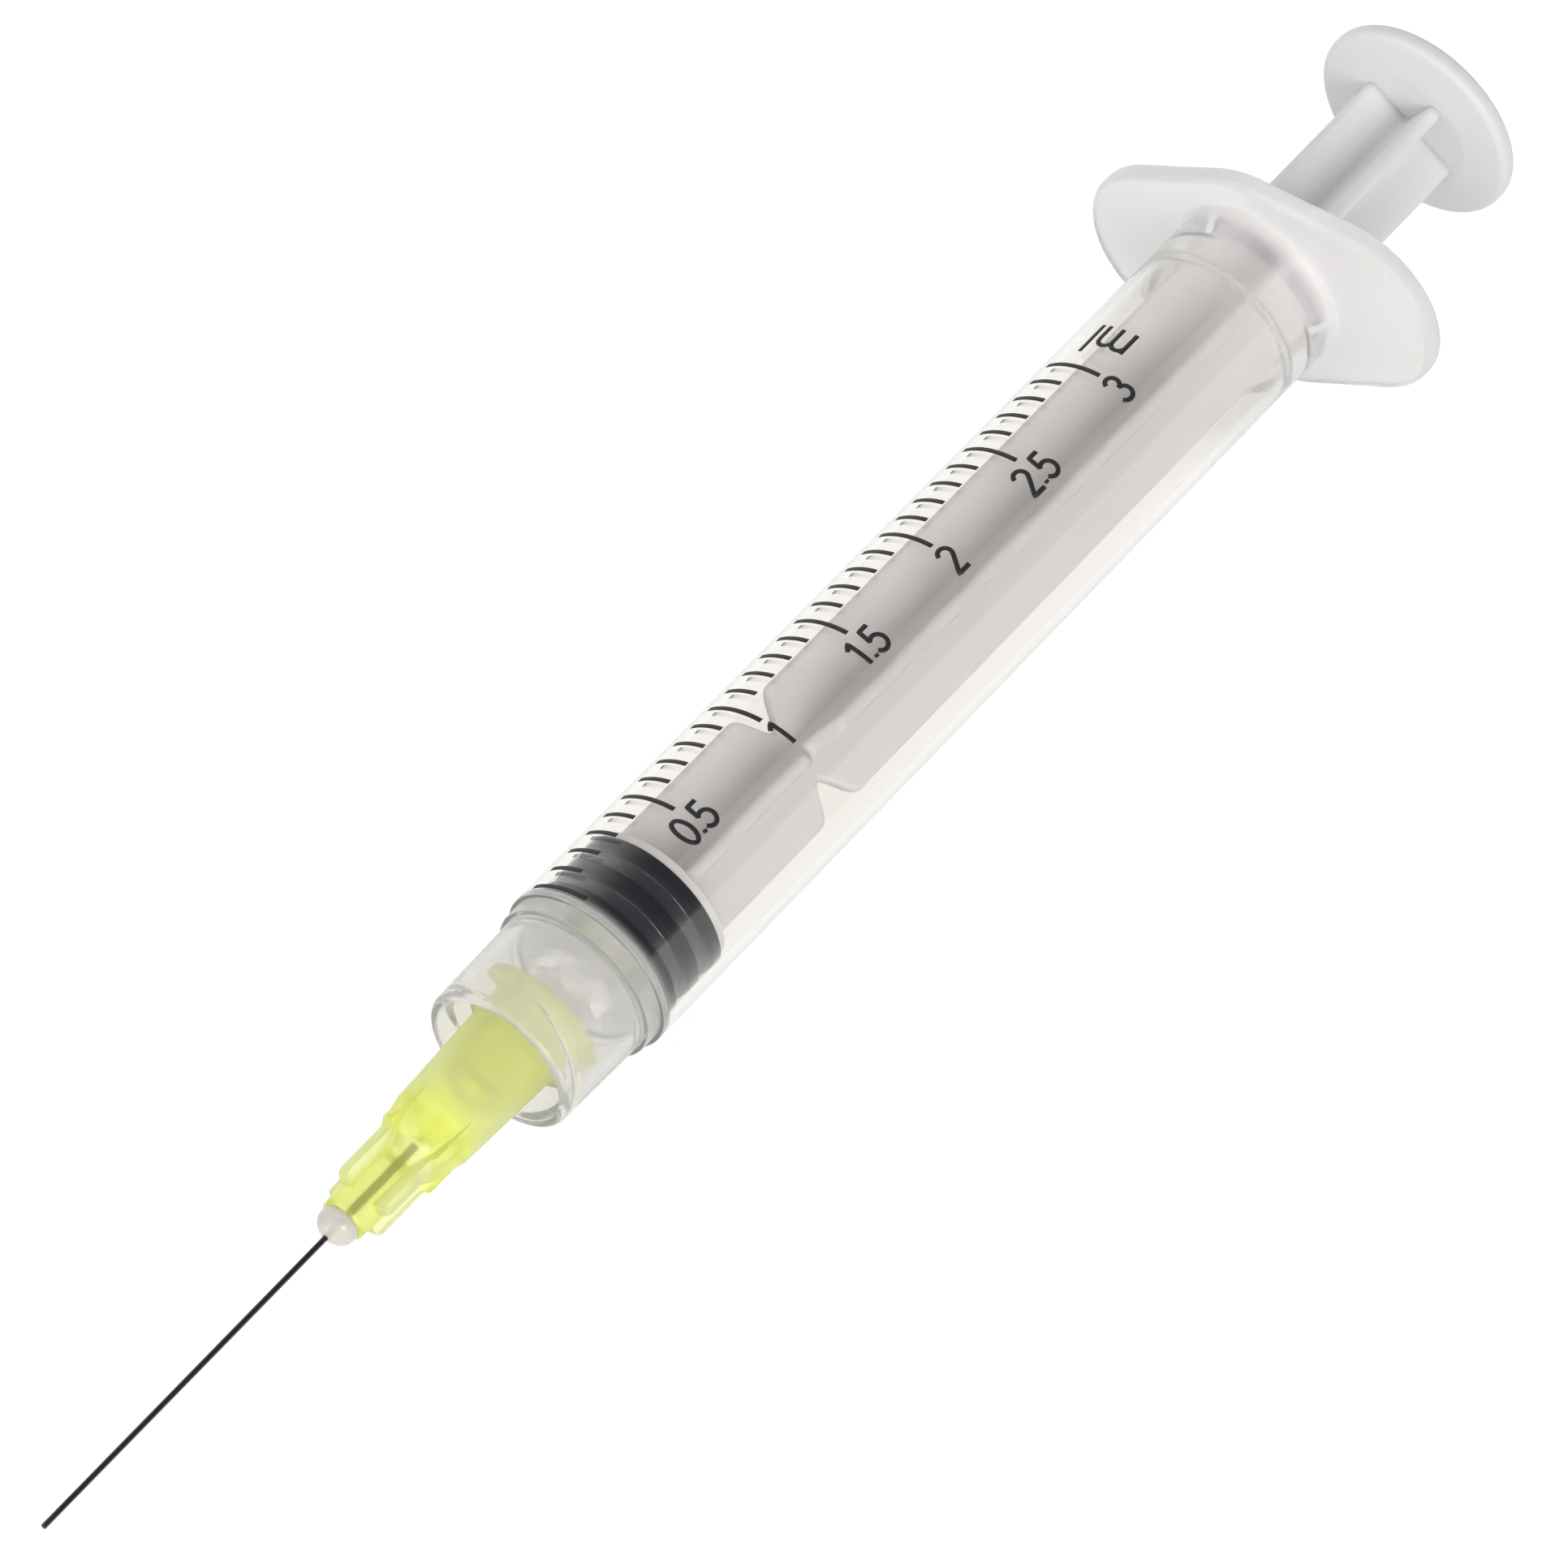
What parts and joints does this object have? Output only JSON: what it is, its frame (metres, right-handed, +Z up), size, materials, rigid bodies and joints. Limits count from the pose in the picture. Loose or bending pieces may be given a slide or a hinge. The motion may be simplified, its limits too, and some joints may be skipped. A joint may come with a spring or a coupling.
{
  "type": "irrigation syringe",
  "caption": "Luer-lock irrigation syringe with a clear ribbed-seal barrel, finger flange, cross-ribbed plunger rod and a fine screw-on needle in a finned hub.",
  "frame": {"origin": "on the barrel's axis, at the needle side of the finger flange", "axes": "+X along the syringe towards the thumb rest, Y through the flange's two lobes, +Z up"},
  "size_m": [0.1193, 0.0236, 0.0142],
  "materials": {
    "clear_plastic": "smooth, clear with a faint milky haze",
    "white_plastic": "satin moulded",
    "black_rubber": "smooth, lightly siliconed",
    "hub_plastic": "translucent moulded",
    "steel": "fine drawn tube",
    "glue": "glossy cured bead"
  },
  "bodies": {
    "barrel": {"barrel": "clear_plastic"},
    "plunger": {"plunger_rod": "white_plastic", "seal": "black_rubber"},
    "needle": {"needle_hub": "hub_plastic", "cannula": "steel", "glue_bead": "glue"}
  },
  "joints": [
    {"name": "plunger_slide", "type": "slide", "parent": "barrel", "child": "plunger", "axis": [1, 0, 0], "range_m": [0, 0.049]},
    {"name": "needle_off", "type": "slide", "parent": "barrel", "child": "needle", "axis": [-1, 0, 0], "range_m": [0, 0.009]}
  ]
}
